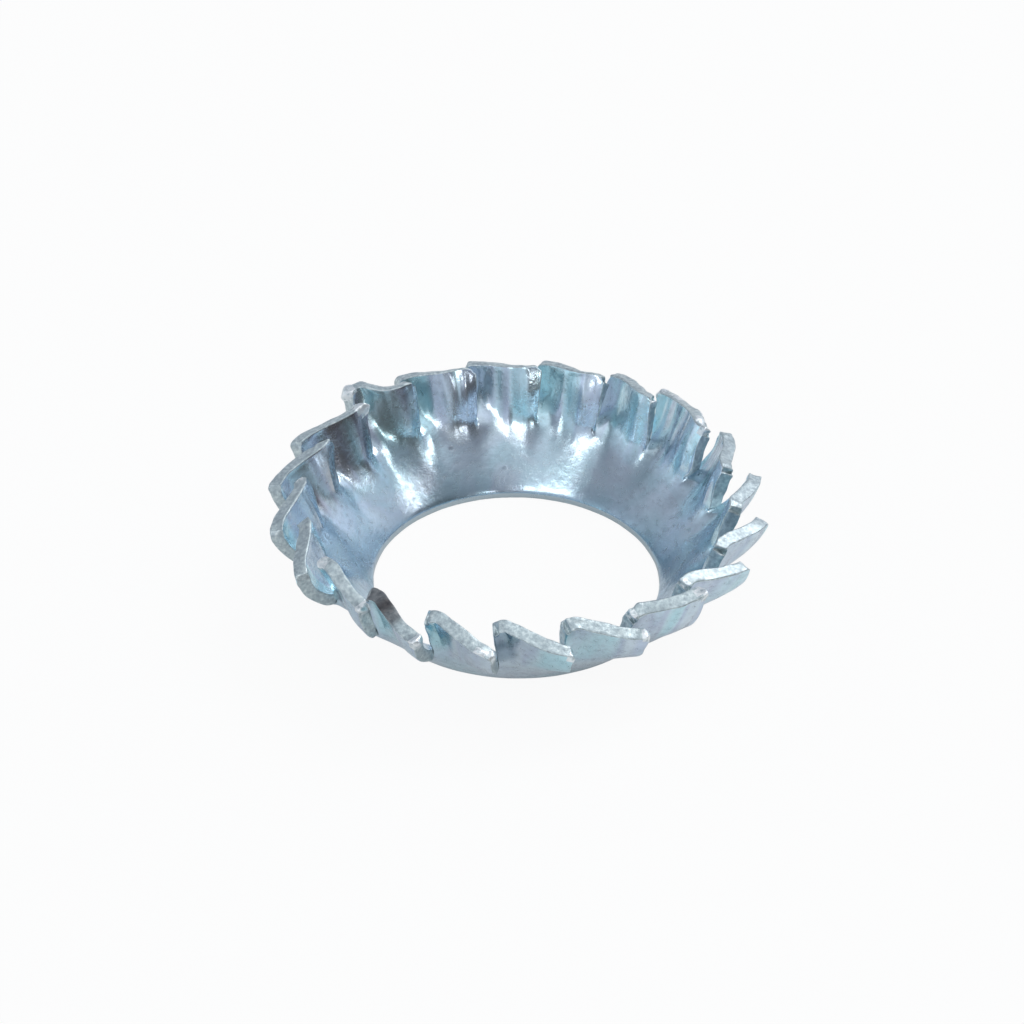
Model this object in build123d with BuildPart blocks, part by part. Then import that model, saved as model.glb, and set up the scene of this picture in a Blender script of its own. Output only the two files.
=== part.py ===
from build123d import *
import os
from math import cos, degrees, radians, sin, tan

# Countersunk toothed lock washer for an M10 flat-head screw: one stamped sheet of spring steel.
# The blank is a flat ring with radial slits cut in from its rim. Pressing turns it into a cone and
# twists each tooth about its middle, so that one corner stands up inside the cone and the other
# leans outside it. Lengths are millimetres and angles degrees. Z is the washer's axis, its small
# end stands on Z = 0, and the first tooth's raised edge is over the X axis.

# The sheet and the cone
sheet = 0.5  # thickness of the strip
bore_diameter = 10.5
cone_angle = 90  # included angle, the same as the screw head's
foot_width = 0.26  # the level ring at the small end that the washer stands on
band_width = 2.05  # slant width from the bore to the slits' inner ends

# The teeth
tooth_count = 20
outer_diameter = 18.3  # over the corners that lean out
height = 4.3  # to the crease, which is the highest place of each tooth
outer_drop = 0.58  # how much lower the corner that leans out is
tuck = 0.98  # how much nearer to the axis the crease is than that corner
crease_width = 0.37  # from a tooth's raised edge to its crease
spring_back = 0.14  # how much further out the raised edge is than the crease
edge_drop = 0.1  # how much lower the raised edge is than the crease
raised_slope = 75  # the sheet's slope at the rim, at the raised edge and the crease
outer_slope = 60  # the same, at the corner that leans out
heel = 0.45  # how far the sheet holds on to the cone past the slits' inner ends
blade = 1.3  # how far in from the rim it holds its slope there
blade_sections = 5  # from the crease to the outer corner

cone_slope = 90 - cone_angle / 2
land_height = sheet / cos(radians(cone_slope)) - foot_width * tan(radians(cone_slope))
crease_radius = outer_diameter / 2 - sheet * sin(radians(outer_slope)) - tuck
crease_turn = degrees(crease_width / crease_radius)
pitch = 360 / tooth_count


def along(slope):
    """One millimetre up the sheet where it stands at a slope, as (radius, height)."""
    return Vector(1, 0).rotate(Axis.Z, slope)


def across(slope):
    """Through the sheet from its inner face to its outer face."""
    return along(slope - 90) * sheet


def sheet_section(turn, tip, slope):
    """The sheet from inside the bore to the rim, in the plane turned this far round the axis.

    The tip is the rim's inner edge, as (radius, height), and the sheet has this slope there.
    """
    bore_edge = Vector(bore_diameter / 2, land_height)
    start = bore_edge - along(cone_slope) * sheet
    root = bore_edge + along(cone_slope) * band_width
    outer_start = start + across(cone_slope)
    outer_root = root + across(cone_slope)
    outer_tip = tip + across(slope)
    # The outer face goes round the bend at a larger radius, so its curve has longer handles
    stretch = sheet * 4 / 3 * tan(radians(slope - cone_slope) / 4)
    with BuildSketch(Plane.XZ.rotated((0, 0, turn))) as section:
        with BuildLine():
            Line(start, root)
            Bezier(root, root + along(cone_slope) * heel, tip - along(slope) * blade, tip)
            Line(tip, outer_tip)
            Bezier(
                outer_tip,
                outer_tip - along(slope) * (blade + stretch),
                outer_root + along(cone_slope) * (heel + stretch),
                outer_root,
            )
            Line(outer_root, outer_start)
            Line(outer_start, start)
        make_face()
    return section.sketch


def blade_section(share):
    """A section of the tooth's blade: 0 is at the crease and 1 at the outer corner."""
    tip = Vector(crease_radius + tuck * share, height - outer_drop * share)
    slope = raised_slope + (outer_slope - raised_slope) * share
    return sheet_section(crease_turn + (pitch - crease_turn) * share, tip, slope)


# One tooth with its share of the cone: the strip beside the raised edge, then the blade
with BuildPart() as tooth:
    raised_tip = Vector(crease_radius + spring_back, height - edge_drop)
    loft([sheet_section(0, raised_tip, raised_slope), blade_section(0)])
    loft([blade_section(step / (blade_sections - 1)) for step in range(blade_sections)])

# The whole washer, with its bore cut upright and its foot cut level
with BuildPart() as lock_washer:
    with PolarLocations(0, tooth_count):
        add(tooth.part)
    with BuildSketch(Plane.XY.offset(-height)):
        Circle(bore_diameter / 2)
    extrude(amount=2 * height, mode=Mode.SUBTRACT)
    split(bisect_by=Plane.XY, keep=Keep.TOP)

lock_washer.part.label = "lock_washer"
os.makedirs("parts", exist_ok=True)
export_step(lock_washer.part, "parts/lock_washer.step")
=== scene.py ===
from math import atan2, cos, degrees, hypot, pi, radians, sin

import bmesh
import bpy
from mathutils import Matrix, Vector


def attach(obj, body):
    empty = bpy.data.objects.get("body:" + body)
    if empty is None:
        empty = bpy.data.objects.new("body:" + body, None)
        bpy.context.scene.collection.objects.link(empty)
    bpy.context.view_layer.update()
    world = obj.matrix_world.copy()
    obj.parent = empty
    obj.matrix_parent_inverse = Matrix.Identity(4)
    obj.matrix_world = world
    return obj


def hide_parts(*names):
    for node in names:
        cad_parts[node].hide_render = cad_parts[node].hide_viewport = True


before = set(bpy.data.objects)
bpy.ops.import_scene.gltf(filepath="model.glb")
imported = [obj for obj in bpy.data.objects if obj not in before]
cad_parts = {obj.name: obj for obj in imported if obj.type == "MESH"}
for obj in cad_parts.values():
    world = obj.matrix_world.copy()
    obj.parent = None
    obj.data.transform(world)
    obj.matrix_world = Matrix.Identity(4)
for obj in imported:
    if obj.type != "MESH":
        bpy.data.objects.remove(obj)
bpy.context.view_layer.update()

mm = 0.001

# ---------------------------------------------------------------- sizes of the washer
# The cone stands on its small end. The first tooth's raised edge is over the X axis, and the
# teeth follow one another anticlockwise from above. Angles are degrees.

sheet = 0.5 * mm
bore_radius = 5.25 * mm
land_height = 0.17 * mm  # upright wall of the bore, up to where it rolls over into the cone
foot_radius = 5.507 * mm  # outer edge of the level foot ring
tooth_count = 20
tooth_angle = 360 / tooth_count
columns = (-9, -8.2, -6.6, -5.6, -1, 4.4, 5.4, 8.2, 9)  # degrees from the middle of a tooth
circle_points = 1800  # of the first circle, enough to have one at each column
same_angle = 0.05  # a point that is nearer than this to a column is at it

# The sheet row by row, from the bore to the rim: the length of the step up it, its slope, and
# how much of the twist, of the ripples and of the bulge of the outer side a row has
rows = (
    (0.08 * mm, 82, 0.00, 0.00, 0.0),
    (0.30 * mm, 50, 0.00, 0.00, 0.0),
    (0.90 * mm, 45.5, 0.00, 0.05, 0.0),
    (0.60 * mm, 44, 0.00, 0.35, 0.0),
    (0.32 * mm, 45, 0.00, 0.70, 0.0),
    (0.32 * mm, 48, 0.00, 0.95, 0.0),
    (0.33 * mm, 53, 0.00, 1.00, 0.0),
    (0.30 * mm, 60, 0.48, 0.60, 0.9),
    (0.48 * mm, 63, 0.78, 0.30, 1.2),
    (0.54 * mm, 64, 0.92, 0.10, 1.0),
    (0.41 * mm, 64, 0.98, 0.00, 0.5),
    (0.28 * mm, 63, 1.00, 0.00, 0.2),
)
# Row 0 is the foot and row 1 the top of the upright wall
slit_row = 8  # up to this row, neighbouring teeth are one sheet
rim_row = len(rows) + 1
blank_slope = 45  # of the cone that the teeth lay in before they were bent up

# A whole tooth is turned about an upright line, tilted so that its outer corner goes down, made
# wider, and moved a little around
twist_turn = 27
twist_tilt = 14
twist_widening = 1.04
twist_shift = 0.06 * mm

# A strip along each side of a tooth is pressed back towards the round of the cone. Each list of
# columns says how much of a move each one has.
strip_lead = 1.6  # the strips are pressed this many times sooner than the tooth is twisted
raised_strip_around = -0.13 * mm
raised_strip_out = 0.30 * mm
raised_strip_up = -0.05 * mm
raised_strip_columns = ((0, 1.0), (1, 0.8), (2, 0.3), (3, 0.12))
outer_strip_out = -0.12 * mm
outer_strip_columns = ((8, 1.0), (7, 0.8), (6, 0.1))
outer_side_around = 0.25 * mm
outer_side_bulge = 0.25 * mm
outer_side_columns = ((5, 0.3), (6, 0.7), (7, 1.0), (8, 1.0))
ripple = 0.078 * mm
ripple_columns = ((1, 0.3), (2, 0.75), (3, 0.95), (4, 0.34), (5, -1.0), (6, -0.95), (7, -0.3))
# The rim's corners are pressed round: column, around, outwards and upwards
rim_corners = (
    (0, 0.12 * mm, -0.05 * mm, -0.25 * mm),
    (1, 0.01 * mm, -0.02 * mm, -0.07 * mm),
    (7, 0, -0.02 * mm, -0.02 * mm),
    (8, -0.12 * mm, -0.08 * mm, -0.15 * mm),
)

# The whole sheet
sheared_edge = 1  # the number of this finish; the plating is 0
zinc_lump = 2
seam_width = 0.035 * mm  # what is nearer than this at the line between two teeth is one point
seam_top = 0.02 * mm  # how far over the slits' inner ends the seam may reach
level_height = 0.01 * mm  # what is lower than this is on the foot
foot_margin = 0.2 * mm  # how far out of the bore's wall the foot's outer edge is, at least
edge_rounding = 0.07 * mm
sharp_angle = 50  # an edge where the surface turns by more than this is rounded
bend_height = 1.75 * mm  # where the sheet bends from the cone into the teeth
bend_reach = 0.65 * mm
bend_fullness = 1.6  # how steeply the smoothing grows to its whole share from the reach's ends
bend_rounds = 8  # of smoothing
ragged_grain = 0.2 * mm
ragged_depth = 0.22 * mm
clean_height = 0.05 * mm  # the foot's edges, which are lower, aren't ragged

# ---------------------------------------------------------------- differences between the teeth

# What stamping and use have bent, by the number of the tooth, in millimetres: the column and row
# of a place, how far it was moved around, outwards and upwards, and how far the bend reaches
hand_bends = {
    1: (
        (0, 11, 0.0, -0.12, 0.0, 1.3),
        (4, rim_row, 0.0, 0.0, -0.06, 2.0),
    ),
    2: (
        (0, 11, 0.0, -0.12, 0.0, 1.3),
        (4, rim_row, 0.0, 0.2, 0.14, 1.3),
        (8, rim_row, 0.85, 0.1, -0.20, 1.4),
        (0, rim_row, -0.02, 0.20, -0.06, 1.4),
        (0, 9, -0.25, 0.0, 0.0, 1.2),
        (8, 10, 0.35, 0.05, 0.0, 0.9),
    ),
    3: (
        (0, rim_row, 0.3, 0.0, 0.0, 2.2),
    ),
    4: (
        (2, rim_row, 0.0, 0.24, -0.04, 0.9),
    ),
    5: (
        (1, rim_row, 0.0, 0.24, -0.04, 0.9),
    ),
    6: (
        (4, rim_row, 0.0, 0.0, 0.04, 2.0),
        (2, rim_row, 0.0, 0.24, -0.04, 0.9),
    ),
    7: (
        (6, rim_row, 0.0, 0.22, 0.22, 1.2),
        (8, rim_row, -0.65, 0.0, 0.25, 1.6),
        (2, rim_row, 0.0, 0.0, 0.06, 1.2),
    ),
    9: (
        (0, rim_row, 0.0, -0.22, 0.03, 1.4),
    ),
    12: (
        (8, rim_row, -0.3, -0.75, -0.15, 2.2),
        (0, rim_row, 0.0, 0.2, 0.0, 1.0),
    ),
    14: (
        (8, rim_row, -0.05, -0.03, -0.1, 1.5),
    ),
    15: (
        (8, rim_row, 0.0, -0.03, -0.08, 1.5),
    ),
    17: (
        (0, rim_row, 0.0, 0.0, -0.25, 1.3),
        (8, rim_row, -0.05, -0.2, 0.45, 1.8),
    ),
}

# Lumps of zinc left on the edges, in millimetres: tooth, column and row, how far out of the inner
# face, height and reach
nubs = (
    (7, 8, rim_row, 0.2, 0.20, 0.38),
    (7, 7, rim_row, 0.4, 0.17, 0.28),
    (7, 8, rim_row - 1, 0.4, 0.20, 0.35),
    (8, 0, rim_row, 0.1, 0.22, 0.45),
    (8, 0, rim_row - 1, 0.1, 0.22, 0.40),
    (8, 1, rim_row, 0.3, 0.10, 0.25),
    (2, 8, rim_row, 0.2, 0.20, 0.35),
    (2, 6, rim_row, 0.2, 0.14, 0.28),
    (2, 0, rim_row, 0.2, 0.07, 0.31),
    (2, 4, rim_row, 0.4, 0.14, 0.28),
    (12, 0, rim_row, 0.3, 0.24, 0.40),
    (12, 8, rim_row, 0.2, 0.20, 0.35),
    (12, 7, rim_row - 1, 0.4, 0.20, 0.31),
    (13, 8, rim_row, 0.3, 0.24, 0.38),
    (13, 7, rim_row, 0.5, 0.17, 0.28),
    (14, 8, rim_row, 0.3, 0.20, 0.33),
    (14, 6, rim_row, 0.5, 0.10, 0.22),
    (15, 8, rim_row, 0.4, 0.14, 0.28),
    (16, 8, rim_row, 0.3, 0.20, 0.35),
    (16, 7, rim_row, 0.5, 0.14, 0.25),
    (17, 8, rim_row, 0.2, 0.24, 0.38),
    (17, 7, rim_row, 0.4, 0.20, 0.31),
    (17, 0, rim_row, 0.3, 0.14, 0.28),
    (18, 0, rim_row, 0.2, 0.10, 0.28),
    (19, 8, rim_row, 0.3, 0.10, 0.25),
    (10, 1, rim_row, 0.3, 0.09, 0.25),
    (2, 1, rim_row, 0.2, 0.20, 0.34),
    (2, 3, rim_row, 0.3, 0.16, 0.30),
    (2, 0, rim_row - 1, 0.3, 0.16, 0.30),
    (3, 0, rim_row - 1, 0.3, 0.14, 0.28),
)
nub_cover = 0.75  # share of a lump's reach that has the lump's finish

# ---------------------------------------------------------------- the finishes' places

# The plating's bands and specks begin over the cone and are full on the teeth
teeth_begin = 1.6 * mm
teeth_full = 2.7 * mm
band_radius = 8 * mm  # where the bands' widths are measured
band_rise = 0.12  # how fast the bands change upwards, as a share of how fast they change around
big_pit_place = (-3.04 * mm, 5.745 * mm, 1.70 * mm)
big_pit_inside = 0.05 * mm
big_pit_outside = 0.17 * mm
# Painted shade: the bore's wall is painted dark, and the cone near it a little darker, from the first
# radius inwards
bore_wall = (5.275 * mm, 5.255 * mm)
bore_wall_painted_shade = (0.46, 0.53, 0.57)
bore_surround = (5.85 * mm, 5.30 * mm)
bore_surround_painted_shade = (0.80, 0.82, 0.85)
# Painted shade and painted reflections of darker surroundings on some teeth, and a grayer tone on one
# tooth (the third place): the place, how far round it, and the shade
painted_shade_and_gray_places = (
    ((-6.60 * mm, 3.75 * mm, 3.50 * mm), 1.7 * mm, (0.66, 0.58, 0.56)),
    ((-5.15 * mm, 5.55 * mm, 3.45 * mm), 1.2 * mm, (0.68, 0.60, 0.58)),
    ((-7.40 * mm, 1.40 * mm, 3.20 * mm), 1.8 * mm, (0.93, 0.82, 0.78)),
    ((0.10 * mm, -8.00 * mm, 3.55 * mm), 0.85 * mm, (0.60, 0.66, 0.68)),
    ((0.25 * mm, -7.75 * mm, 2.85 * mm), 0.80 * mm, (0.58, 0.64, 0.66)),
    ((2.35 * mm, -7.70 * mm, 3.90 * mm), 0.80 * mm, (0.70, 0.76, 0.78)),
    ((-2.00 * mm, -7.60 * mm, 3.20 * mm), 0.95 * mm, (0.84, 0.96, 0.96)),
)
# Where a cut edge is nearly black
dark_edges = (
    ((-4.20 * mm, -6.80 * mm, 4.10 * mm), 0.9 * mm, (0.42, 0.38, 0.38)),
    ((-3.80 * mm, -7.35 * mm, 3.95 * mm), 0.8 * mm, (0.48, 0.44, 0.44)),
)
darkened_core = 0.45  # share of a darkened place's reach that has its whole shade

# ---------------------------------------------------------------- modelling by hand


def deselect():
    bpy.ops.object.select_all(action="DESELECT")


def make_active(piece):
    deselect()
    piece.select_set(True)
    bpy.context.view_layer.objects.active = piece


def select_vertices(piece, chosen):
    """Selects, in edit mode, the vertices that pass the test."""
    mesh = bmesh.from_edit_mesh(piece.data)
    for vertex in mesh.verts:
        vertex.select = chosen(vertex)
    mesh.select_flush_mode()
    bmesh.update_edit_mesh(piece.data)


def select_numbers(piece, numbers):
    """Selects, in edit mode, the vertices that have these numbers."""
    select_vertices(piece, lambda vertex: vertex.index in numbers)


def row_of(piece):
    """The numbers of the selected vertices, from the raised side to the outer side."""
    mesh = bmesh.from_edit_mesh(piece.data)
    mesh.verts.index_update()
    row = sorted((v for v in mesh.verts if v.select), key=lambda v: v.co.y)
    return [v.index for v in row]


def press(piece, row, moves):
    """Moves single vertices of a row around, outwards and upwards, then selects it all again."""
    for column, around, outwards, upwards in moves:
        select_numbers(piece, [row[column]])
        bpy.ops.transform.translate(value=(outwards, around, upwards))
    select_numbers(piece, row)


def apply_modifier(piece, kind, **settings):
    modifier = piece.modifiers.new(kind.lower(), kind)
    for name, value in settings.items():
        setattr(modifier, name, value)
    make_active(piece)
    bpy.ops.object.modifier_apply(modifier=modifier.name)


# ---------------------------------------------------------------- one tooth


def add_arc():
    """The foot's inner edge under one tooth, with a point at each column. It stays in edit mode."""
    bpy.ops.mesh.primitive_circle_add(vertices=circle_points, radius=bore_radius)
    sector = bpy.context.active_object
    sector.name = "tooth"

    def angle(vertex):
        return degrees(atan2(vertex.co.y, vertex.co.x))

    bpy.ops.object.mode_set(mode="EDIT")
    select_vertices(sector, lambda vertex: abs(angle(vertex)) > tooth_angle / 2 + same_angle)
    bpy.ops.mesh.delete(type="VERT")
    select_vertices(sector, lambda vertex: min(abs(angle(vertex) - c) for c in columns) > same_angle)
    bpy.ops.mesh.dissolve_verts()
    # Going in and out of edit mode numbers the points that are left
    bpy.ops.object.mode_set(mode="OBJECT")
    bpy.ops.object.mode_set(mode="EDIT")
    bpy.ops.mesh.select_all(action="SELECT")
    return sector


def twist_row(middle, share):
    """Twists the selected row about its middle, by a share of a tooth's whole twist."""
    bpy.ops.transform.rotate(value=radians(twist_turn * share), orient_axis="Z", center_override=middle)
    bpy.ops.transform.rotate(value=radians(twist_tilt * share), orient_axis="X", center_override=middle)
    bpy.ops.transform.resize(value=(1, 1 + (twist_widening - 1) * share, 1), center_override=middle)
    bpy.ops.transform.translate(value=(0, twist_shift * share, 0))


def press_row(sector, row, rippling, bulging, pressing):
    """Adds shares of the ripples, of the outer side's bulge and of both strips' moves to a row."""
    lift = ripple * rippling
    push = outer_side_bulge * bulging
    press(sector, row, [(column, 0, -lift * part, lift * part) for column, part in ripple_columns])
    around = outer_side_around * pressing
    press(sector, row, [(column, around * part, push * part, 0) for column, part in outer_side_columns])
    around = raised_strip_around * pressing
    outwards = raised_strip_out * pressing
    upwards = raised_strip_up * pressing
    press(sector, row, [(column, around * part, outwards * part, upwards * part)
                        for column, part in raised_strip_columns])
    outwards = outer_strip_out * pressing
    press(sector, row, [(column, 0, outwards * part, 0) for column, part in outer_strip_columns])


def add_sector():
    """One tooth with its share of the cone, centred over the X axis: the sheet's inner face.

    Gives the piece and its vertex numbers, row by row from the foot to the rim."""
    sector = add_arc()
    places = [row_of(sector)]
    bpy.ops.mesh.extrude_region_move(TRANSFORM_OT_translate={"value": (0, 0, land_height)})
    places.append(row_of(sector))
    radius = bore_radius
    height = land_height
    twisted = rippled = bulged = pressed = 0
    for length, slope, twist, ripples, bulging in rows:
        step = length * cos(radians(slope))
        if len(places) <= slit_row:
            growth = 1 + step / radius
            blank_radius = radius + step
        else:
            # Past the slits a tooth is as wide as it was when it lay in the cone
            growth = 1 + length * cos(radians(blank_slope)) / blank_radius
            blank_radius *= growth
        outwards = radius + step - radius * growth
        upwards = length * sin(radians(slope))
        bpy.ops.mesh.extrude_region_move()
        bpy.ops.transform.resize(value=(growth, growth, 1), center_override=(0, 0, 0))
        bpy.ops.transform.translate(value=(outwards, 0, upwards))
        radius += step
        height += upwards
        if twist > twisted:
            twist_row((radius, 0, height), twist - twisted)
        row = row_of(sector)
        places.append(row)
        pressing = min(1, strip_lead * twist)
        press_row(sector, row, ripples - rippled, bulging - bulged, pressing - pressed)
        twisted, rippled, bulged, pressed = twist, ripples, bulging, pressing
    press(sector, row, rim_corners)
    bpy.ops.object.mode_set(mode="OBJECT")
    return sector, places


def bend(tooth, places, column, row, around, outwards, upwards, reach):
    """Bends a tooth that is over the X axis, by moving one place on it and what is near."""
    bpy.ops.object.mode_set(mode="EDIT")
    select_numbers(tooth, sum(places[:slit_row + 1], []))
    bpy.ops.mesh.hide()
    select_numbers(tooth, [places[row][column]])
    bpy.ops.transform.translate(value=(outwards * mm, around * mm, upwards * mm),
                                use_proportional_edit=True, use_proportional_connected=True,
                                proportional_edit_falloff="SMOOTH", proportional_size=reach * mm)
    bpy.ops.mesh.reveal(select=False)
    bpy.ops.object.mode_set(mode="OBJECT")


def add_tooth(sector, places, number):
    """A copy of the sector, bent as this tooth is and turned to its place round the washer."""
    tooth = sector.copy()
    tooth.data = sector.data.copy()
    bpy.context.scene.collection.objects.link(tooth)
    make_active(tooth)
    for hand_bend in hand_bends.get(number, ()):
        bend(tooth, places, *hand_bend)
    tooth.data.transform(Matrix.Rotation(radians(tooth_angle * (number + 0.5)), 4, "Z"))
    return tooth


# ---------------------------------------------------------------- the whole sheet


def join_teeth(teeth):
    """Joins the teeth, and merges the cone between them up to the slits."""
    deselect()
    for tooth in teeth:
        tooth.select_set(True)
    washer = teeth[0]
    bpy.context.view_layer.objects.active = washer
    bpy.ops.object.join()
    washer.name = "toothed_sheet"
    slit_height = land_height
    for length, slope, *rest in rows[:slit_row - 1]:
        slit_height += length * sin(radians(slope))
    bpy.ops.object.mode_set(mode="EDIT")
    select_vertices(washer, lambda vertex: vertex.co.z < slit_height + seam_top)
    bpy.ops.mesh.remove_doubles(threshold=seam_width)
    bpy.ops.object.mode_set(mode="OBJECT")
    return washer


def add_finishes(washer):
    """The washer's finishes, in the order of their numbers."""
    for finish in (add_zinc_plate(), add_sheared_edge(), add_zinc_lump()):
        washer.data.materials.append(finish)


def thicken(washer):
    """Gives the sheet its thickness outwards, cut edges with a finish of their own, and its foot."""
    washer.vertex_groups.new(name="cut_edges")
    apply_modifier(washer, "SOLIDIFY", thickness=sheet, offset=-1, use_even_offset=True,
                   material_offset_rim=sheared_edge, rim_vertex_group="cut_edges")

    def on_foot_edge(vertex):
        outwards = hypot(vertex.co.x, vertex.co.y)
        return vertex.co.z < level_height and outwards > bore_radius + foot_margin

    bpy.ops.object.mode_set(mode="EDIT")
    select_vertices(washer, on_foot_edge)
    narrowing = foot_radius / (bore_radius + sheet)
    bpy.ops.transform.resize(value=(narrowing, narrowing, 1), center_override=(0, 0, 0))
    bpy.ops.mesh.select_all(action="SELECT")
    bpy.ops.mesh.normals_make_consistent(inside=False)
    bpy.ops.object.mode_set(mode="OBJECT")


def round_off(washer):
    """Rounds the cut edges and the bend from the cone into the teeth."""
    apply_modifier(washer, "BEVEL", width=edge_rounding, segments=1, material=sheared_edge,
                   limit_method="ANGLE", angle_limit=radians(sharp_angle))
    apply_modifier(washer, "SUBSURF", levels=1, render_levels=1)
    bend_line = washer.vertex_groups.new(name="bend_line")
    for vertex in washer.data.vertices:
        share = 1 - abs(vertex.co.z - bend_height) / bend_reach
        if share > 0:
            bend_line.add([vertex.index], min(1, bend_fullness * share), "REPLACE")
    apply_modifier(washer, "SMOOTH", factor=0.5, iterations=bend_rounds, vertex_group="bend_line")


def raise_nub(washer, place, height, reach):
    """Pulls a small lump of zinc out of the sheet's edge at the surface nearest to a place."""
    mesh = bmesh.from_edit_mesh(washer.data)
    top = min(mesh.verts, key=lambda vertex: (vertex.co - place).length_squared)
    outwards = top.normal.copy()
    middle = top.co.copy()
    for face in mesh.faces:
        if (face.calc_center_median() - middle).length < nub_cover * reach:
            face.material_index = zinc_lump
    select_numbers(washer, [top.index])
    bpy.ops.transform.translate(value=outwards * height, use_proportional_edit=True,
                                proportional_edit_falloff="SMOOTH", proportional_size=reach)


def raise_nubs(washer, nub_places):
    """Raises each lump near its place on the sheet's inner face."""
    bpy.ops.object.mode_set(mode="EDIT")
    for place, nub in zip(nub_places, nubs):
        out, height, reach = nub[3:]
        outwards = Vector((place.x, place.y, 0)).normalized()
        raise_nub(washer, place + outwards * out * mm, height * mm, reach * mm)
    bpy.ops.object.mode_set(mode="OBJECT")


def tear_edges(washer):
    """Makes the cut edges ragged, all but the foot's, and smooths the whole sheet."""
    foot = [vertex.index for vertex in washer.data.vertices if vertex.co.z < clean_height]
    washer.vertex_groups["cut_edges"].remove(foot)
    ragged = bpy.data.textures.new("ragged", "CLOUDS")
    ragged.noise_scale = ragged_grain
    ragged.noise_depth = 3
    apply_modifier(washer, "DISPLACE", texture=ragged, strength=ragged_depth, mid_level=0.5,
                   vertex_group="cut_edges")
    apply_modifier(washer, "SUBSURF", levels=1, render_levels=1)
    bpy.ops.object.shade_smooth()


# ---------------------------------------------------------------- nodes


def set_input(tree, socket, value):
    """Gives a socket a value, or links it to the output of another node."""
    if isinstance(value, bpy.types.NodeSocket):
        tree.links.new(value, socket)
    else:
        socket.default_value = value


def add_node(tree, kind, settings=None, **inputs):
    """A new node. An input is named, or numbered as in _0."""
    node = tree.nodes.new("ShaderNode" + kind)
    for name, value in (settings or {}).items():
        setattr(node, name, value)
    for name, value in inputs.items():
        number = name[1:]
        socket = node.inputs[int(number) if number.isdigit() else name]
        set_input(tree, socket, value)
    return node


def calculate(tree, operation, first, second):
    """A number worked out from two numbers."""
    return add_node(tree, "Math", {"operation": operation}, _0=first, _1=second).outputs[0]


def compare(tree, operation, first, second):
    """A number worked out from two vectors: their distance, or their dot product."""
    return add_node(tree, "VectorMath", {"operation": operation}, _0=first, _1=second).outputs["Value"]


def fade(tree, value, start, end, shape="LINEAR"):
    """0 where the value is at the start, and 1 where it is at the end."""
    share = add_node(tree, "MapRange", {"interpolation_type": shape}, Value=value, _1=start, _2=end)
    return share.outputs[0]


def add_noise(tree, place, scale, detail, roughness=0.5, distortion=0):
    """A cloudy pattern, from 0 to 1."""
    noise = add_node(tree, "TexNoise", Vector=place, Scale=scale, Detail=detail, Roughness=roughness,
                     Distortion=distortion)
    return noise.outputs["Fac"]


def add_bump(tree, strength, depth, height, under=None):
    """The surface's normals, raised by a height over those of the bumps under it."""
    bump = add_node(tree, "Bump", Strength=strength, Distance=depth, Height=height)
    if under:
        set_input(tree, bump.inputs["Normal"], under)
    return bump.outputs["Normal"]


def add_ramp(tree, factor, *stops):
    """A color ramp; each stop is a place from 0 to 1 and a gray or a color."""
    ramp = add_node(tree, "ValToRGB", Fac=factor)
    while len(ramp.color_ramp.elements) < len(stops):
        ramp.color_ramp.elements.new(0.5)
    for element, (place, color) in zip(ramp.color_ramp.elements, stops):
        element.position = place
        element.color = (*color, 1) if isinstance(color, tuple) else (color, color, color, 1)
    return ramp.outputs["Color"]


def mix_colors(tree, factor, first, second, blend="MIX"):
    mix = add_node(tree, "Mix", {"data_type": "RGBA", "blend_type": blend})
    for number, value in ((0, factor), (6, first), (7, second)):
        set_input(tree, mix.inputs[number], (*value, 1) if isinstance(value, tuple) else value)
    return mix.outputs[2]


def multiply_colors(tree, color, shade, factor=1.0):
    """The color times the shade, as far as the factor says."""
    shaded = mix_colors(tree, 1.0, color, shade, "MULTIPLY")
    return shaded if factor == 1.0 else mix_colors(tree, factor, color, shaded)


# ---------------------------------------------------------------- finishes


def new_finish(name, roughness):
    """A metal finish with nothing on it yet: its node tree, its shader and the object's places."""
    finish = bpy.data.materials.new(name)
    finish.use_nodes = True
    tree = finish.node_tree
    shader = tree.nodes["Principled BSDF"]
    shader.inputs["Metallic"].default_value = 1
    shader.inputs["Roughness"].default_value = roughness
    return finish, tree, shader, add_node(tree, "TexCoord").outputs["Object"]


def add_darkened_places(tree, place, color, dulled):
    """The color, darker or grayer round some places and as it was farther off."""
    for middle, reach, shade in dulled:
        away = compare(tree, "DISTANCE", place, middle)
        near = fade(tree, away, reach, darkened_core * reach, "SMOOTHSTEP")
        color = multiply_colors(tree, color, shade, near)
    return color


def add_pits(tree, place):
    """White, with a gray spot at each small pit and a dark one at the big pit."""
    cells = add_node(tree, "TexVoronoi", Vector=place, Scale=700).outputs["Distance"]
    small_pits = add_ramp(tree, cells, (0.0, 0.80), (0.05, 0.90), (0.08, 1.0))
    away = compare(tree, "DISTANCE", place, big_pit_place)
    big_pit = add_ramp(tree, fade(tree, away, big_pit_inside, big_pit_outside), (0.0, 0.15), (1.0, 1.0))
    return multiply_colors(tree, small_pits, big_pit)


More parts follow.
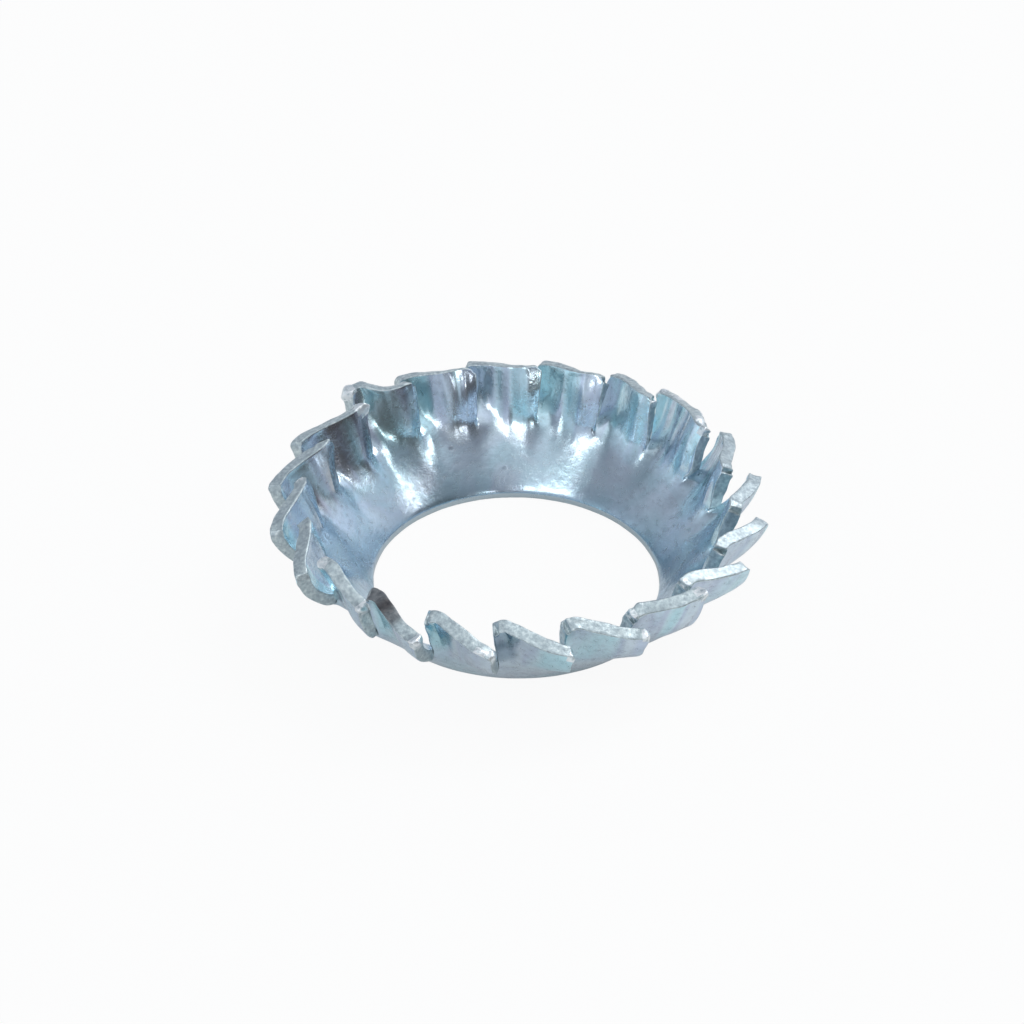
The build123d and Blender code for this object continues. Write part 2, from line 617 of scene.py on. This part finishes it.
def add_zinc_color(tree, place, outwards, on_teeth, bands, mottle, pits):
    """The plating's blue: mauve and teal clouds, bands on the teeth, grain, pits, painted shade and
    painted reflections on some teeth, and painted shade at the bore.
    """
    clouds = add_noise(tree, place, 380, 3, 0.55, 0.8)
    tint = add_ramp(tree, clouds, (0.32, (0.53, 0.71, 0.79)), (0.44, (0.57, 0.72, 0.81)),
                    (0.56, (0.62, 0.72, 0.82)), (0.68, (0.69, 0.80, 0.87)))
    band_tint = add_ramp(tree, bands, (0.36, (0.58, 0.89, 0.95)), (0.45, (0.71, 0.92, 0.98)),
                         (0.54, (0.60, 0.67, 0.81)), (0.64, (0.74, 0.83, 0.90)))
    color = mix_colors(tree, on_teeth, tint, mix_colors(tree, 0.7, tint, band_tint))
    mottled = add_ramp(tree, mottle, (0.32, 0.81), (0.5, 0.95), (0.68, 1.0))
    color = multiply_colors(tree, color, mottled)
    color = multiply_colors(tree, color, pits, 0.9)
    # Painted shade and painted reflections on some teeth, and a grayer tone on one tooth
    color = add_darkened_places(tree, place, color, painted_shade_and_gray_places)
    # Painted shade: a little darker on the cone near the bore, and dark on the bore's wall
    color = multiply_colors(tree, color, bore_surround_painted_shade, fade(tree, outwards, *bore_surround))
    return mix_colors(tree, fade(tree, outwards, *bore_wall), color, bore_wall_painted_shade)


def add_zinc_relief(tree, place, on_teeth, bands, mottle, pits):
    """The plating's relief: grain and waves, flutes and specks on the teeth, and the pits."""
    grain = add_bump(tree, 0.35, 0.02 * mm, mottle)
    waves = add_bump(tree, 0.12, 0.05 * mm, add_noise(tree, place, 900, 2), grain)
    fluting = calculate(tree, "MULTIPLY", calculate(tree, "SUBTRACT", bands, 0.5), on_teeth)
    flutes = add_bump(tree, 1.0, 0.26 * mm, fluting, waves)
    patches = add_ramp(tree, add_noise(tree, place, 450, 1), (0.48, 0.0), (0.60, 1.0))
    speckled = calculate(tree, "MULTIPLY", patches, on_teeth)
    specks = add_bump(tree, speckled, 0.016 * mm, add_noise(tree, place, 7500, 2, 0.6), flutes)
    return add_bump(tree, 0.5, 0.05 * mm, pits, specks)


def add_zinc_plate():
    """Bright zinc plate, with upright bands on the teeth, where they were pressed."""
    finish, tree, shader, place = new_finish("bright_zinc", 0.2)
    parts = add_node(tree, "SeparateXYZ", Vector=place).outputs
    level = add_node(tree, "CombineXYZ", X=parts["X"], Y=parts["Y"]).outputs[0]
    outwards = add_node(tree, "VectorMath", {"operation": "LENGTH"}, _0=level).outputs["Value"]
    turn = calculate(tree, "ARCTAN2", parts["Y"], parts["X"])
    around = calculate(tree, "MULTIPLY", turn, band_radius)
    slow_rise = calculate(tree, "MULTIPLY", parts["Z"], band_rise)
    upright = add_node(tree, "CombineXYZ", X=around, Y=slow_rise).outputs[0]
    on_teeth = fade(tree, parts["Z"], teeth_begin, teeth_full, "SMOOTHSTEP")
    bands = add_noise(tree, upright, 1150, 1.5)
    mottle = add_noise(tree, place, 3600, 3, 0.6)
    pits = add_pits(tree, place)
    color = add_zinc_color(tree, place, outwards, on_teeth, bands, mottle, pits)
    set_input(tree, shader.inputs["Base Color"], color)
    haze = add_ramp(tree, mottle, (0.3, 0.30), (0.7, 0.19))
    set_input(tree, shader.inputs["Roughness"], haze)
    relief = add_zinc_relief(tree, place, on_teeth, bands, mottle, pits)
    set_input(tree, shader.inputs["Normal"], relief)
    return finish


def add_sheared_edge():
    """Where the sheet was cut through: duller, grayer, and torn into fine ridges."""
    finish, tree, shader, place = new_finish("sheared_edge", 0.36)
    patches = add_noise(tree, place, 7000, 4, 0.6)
    tint = add_ramp(tree, patches, (0.30, (0.38, 0.44, 0.47)), (0.5, (0.53, 0.61, 0.63)),
                    (0.68, (0.74, 0.81, 0.81)))
    set_input(tree, shader.inputs["Base Color"], add_darkened_places(tree, place, tint, dark_edges))
    ridges = add_noise(tree, place, 5000, 5, 0.75)
    set_input(tree, shader.inputs["Normal"], add_bump(tree, 0.55, 0.05 * mm, ridges))
    return finish


def add_zinc_lump():
    """A drop of zinc that ran together on an edge: pale and rough."""
    finish, tree, shader, place = new_finish("zinc_lump", 0.32)
    spots = add_noise(tree, place, 5000, 4, 0.65)
    tint = add_ramp(tree, spots, (0.34, (0.50, 0.56, 0.58)), (0.46, (0.84, 0.89, 0.90)),
                    (0.62, (0.97, 0.98, 0.98)))
    set_input(tree, shader.inputs["Base Color"], tint)
    set_input(tree, shader.inputs["Normal"], add_bump(tree, 0.8, 0.06 * mm, spots))
    return finish


# ---------------------------------------------------------------- the washer

deselect()
sector, places = add_sector()
teeth = [add_tooth(sector, places, number) for number in range(tooth_count)]
nub_places = [teeth[number].data.vertices[places[row][column]].co.copy()
              for number, column, row, *rest in nubs]
bpy.data.objects.remove(sector)
washer = join_teeth(teeth)
add_finishes(washer)
thicken(washer)
round_off(washer)
raise_nubs(washer, nub_places)
tear_edges(washer)

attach(washer, "root")
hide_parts("lock_washer")

# ---------------------------------------------------------------- floor and light

floor_size = 4  # in metres, as the lamps' sizes are
# Plain white that is put in, of 1: where the camera looks, and where metal mirrors it
floor_white = {"looked_at": 0.93, "mirrored": 0.2}
room_white = {"looked_at": 1.0, "mirrored": 0.1}
# Parts of the room that are darker or lighter: azimuth and elevation, the angle round that within
# which it is full, the angle at which it ends, and how much light it has
room_spots = {
    "cupboard": ((-64, 9), 20, 32, 0.10),
    "doorway": ((-24, 4), 26, 40, 0.06),
    "curtain": ((-125, -4), 8, 20, 0.70),
    "shelf": ((160, 21), 14, 32, 0.74),
    "pale_wall": ((48, 8), 15, 34, 1.45),
}
window = ((-176, 0), 14, 27, (0.40, 0.45, 0.48))
# Soft lamps: azimuth and elevation, width and height, and brightness, of which 1 looks white in a
# mirror
lamp_distance = 0.4
lamps = {
    "right_lamp": (1, 39, 0.06, 0.09, 4),
    "back_right_lamp": (46, 46, 0.16, 0.14, 5),
    "front_left_lamp": (252, 42, 0.22, 0.065, 4.4),
    "front_right_lamp": (300, 30, 0.06, 0.05, 5),
}


def aim(azimuth, elevation):
    """The direction of an azimuth and elevation in degrees."""
    flat = cos(radians(elevation))
    return cos(radians(azimuth)) * flat, sin(radians(azimuth)) * flat, sin(radians(elevation))


def add_seen_share(tree, looked_at, mirrored):
    """How much plain white is put in, where the camera looks and where metal mirrors it."""
    path = add_node(tree, "LightPath").outputs
    in_metal = calculate(tree, "MULTIPLY", path["Is Glossy Ray"], mirrored)
    return add_node(tree, "Math", {"operation": "MULTIPLY_ADD"}, _0=path["Is Camera Ray"], _1=looked_at,
                    _2=in_metal).outputs[0]


def add_floor():
    """A white floor that keeps the shadow, paler where the camera looks at it."""
    bpy.ops.mesh.primitive_plane_add(size=floor_size)
    floor = bpy.context.active_object
    floor.name = "floor"
    paper = bpy.data.materials.new("white_paper")
    paper.use_nodes = True
    tree = paper.node_tree
    shader = tree.nodes["Principled BSDF"]
    shader.inputs["Base Color"].default_value = (0.87, 0.87, 0.85, 1)
    shader.inputs["Roughness"].default_value = 0.9
    glow = add_node(tree, "Emission", Color=(1, 1, 1, 1), Strength=1.0)
    both = add_node(tree, "MixShader", _0=add_seen_share(tree, **floor_white), _1=shader.outputs[0],
                    _2=glow.outputs[0])
    set_input(tree, tree.nodes["Material Output"].inputs["Surface"], both.outputs[0])
    floor.data.materials.append(paper)


def add_spot(tree, direction, place, inner, outer, beyond, light):
    """A round part of the room, with its own light within and another beyond it."""
    nearness = compare(tree, "DOT_PRODUCT", direction, aim(*place))
    return add_ramp(tree, nearness, (cos(radians(outer)), beyond), (cos(radians(inner)), light))


def add_world():
    """A pale room with a dark band under its bright ceiling, and white where the camera sees it."""
    world = bpy.data.worlds.new("studio")
    bpy.context.scene.world = world
    world.use_nodes = True
    tree = world.node_tree
    room = tree.nodes["Background"]
    direction = add_node(tree, "TexCoord").outputs["Generated"]
    height = add_node(tree, "SeparateXYZ", Vector=direction).outputs["Z"]
    walls = add_ramp(tree, height, (0.0, (0.50, 0.55, 0.63)), (0.3, (0.54, 0.60, 0.70)),
                     (0.5, (0.49, 0.55, 0.64)), (0.64, (0.17, 0.19, 0.24)), (0.76, (0.22, 0.26, 0.31)),
                     (0.90, (0.86, 0.93, 1.00)))
    for place, inner, outer, light in room_spots.values():
        spot = add_spot(tree, direction, place, inner, outer, 1.0, light)
        walls = multiply_colors(tree, walls, spot)
    place, inner, outer, light = window
    daylight = add_spot(tree, direction, place, inner, outer, 0.0, light)
    set_input(tree, room.inputs["Color"], mix_colors(tree, 1.0, walls, daylight, "ADD"))
    white = add_node(tree, "Background", Color=(1, 1, 1, 1), Strength=1.0)
    both = add_node(tree, "MixShader", _0=add_seen_share(tree, **room_white), _1=room.outputs[0],
                    _2=white.outputs[0])
    set_input(tree, tree.nodes["World Output"].inputs["Surface"], both.outputs[0])


def add_lamp(name, azimuth, elevation, width, height, brightness):
    """A soft lamp that faces the washer."""
    lamp = bpy.data.lights.new(name, "AREA")
    lamp.shape = "RECTANGLE"
    lamp.size = width
    lamp.size_y = height
    lamp.energy = brightness * pi * width * height
    softbox = bpy.data.objects.new(name, lamp)
    bpy.context.scene.collection.objects.link(softbox)
    towards = Vector(aim(azimuth, elevation))
    softbox.matrix_world = (Matrix.Translation(towards * lamp_distance)
                            @ towards.to_track_quat("Z", "Y").to_matrix().to_4x4())


# A new file's own cube, lamp and camera
for left_over in ("Cube", "Light", "Camera"):
    if left_over in bpy.data.objects:
        bpy.data.objects.remove(bpy.data.objects[left_over])

add_floor()
add_world()
for name, settings in lamps.items():
    add_lamp(name, *settings)

# ---------------------------------------------------------------- camera

camera_distance = 220 * mm
camera_azimuth = 5.5
camera_elevation = 36.64
camera_roll = 0.80
camera_right = 0.16 * mm  # how far right of the middle of the frame the middle of the bore is
camera_down = 2.60 * mm  # and how far below it
sensor_width = 36
frame_width = 1024
washer_scale = 27.23 / mm  # how much of that width a metre at the washer takes up


def add_camera():
    """The camera, which looks down on the washer from the front."""
    lens = bpy.data.cameras.new("camera")
    lens.sensor_width = sensor_width
    lens.lens = sensor_width * washer_scale * camera_distance / frame_width
    lens.clip_start = 0.01
    camera = bpy.data.objects.new("camera", lens)
    bpy.context.scene.collection.objects.link(camera)
    back = Vector(aim(camera_azimuth - 90, camera_elevation))
    level_right = Vector(aim(camera_azimuth, 0))
    level_up = back.cross(level_right)
    roll = radians(camera_roll)
    right = level_right * cos(roll) + level_up * sin(roll)
    up = level_up * cos(roll) - level_right * sin(roll)
    place = back * camera_distance - right * camera_right + up * camera_down
    turn = Matrix((right, up, back)).transposed()
    camera.matrix_world = Matrix.Translation(place) @ turn.to_4x4()
    bpy.context.scene.camera = camera


add_camera()
bpy.context.scene.view_settings.view_transform = "Standard"
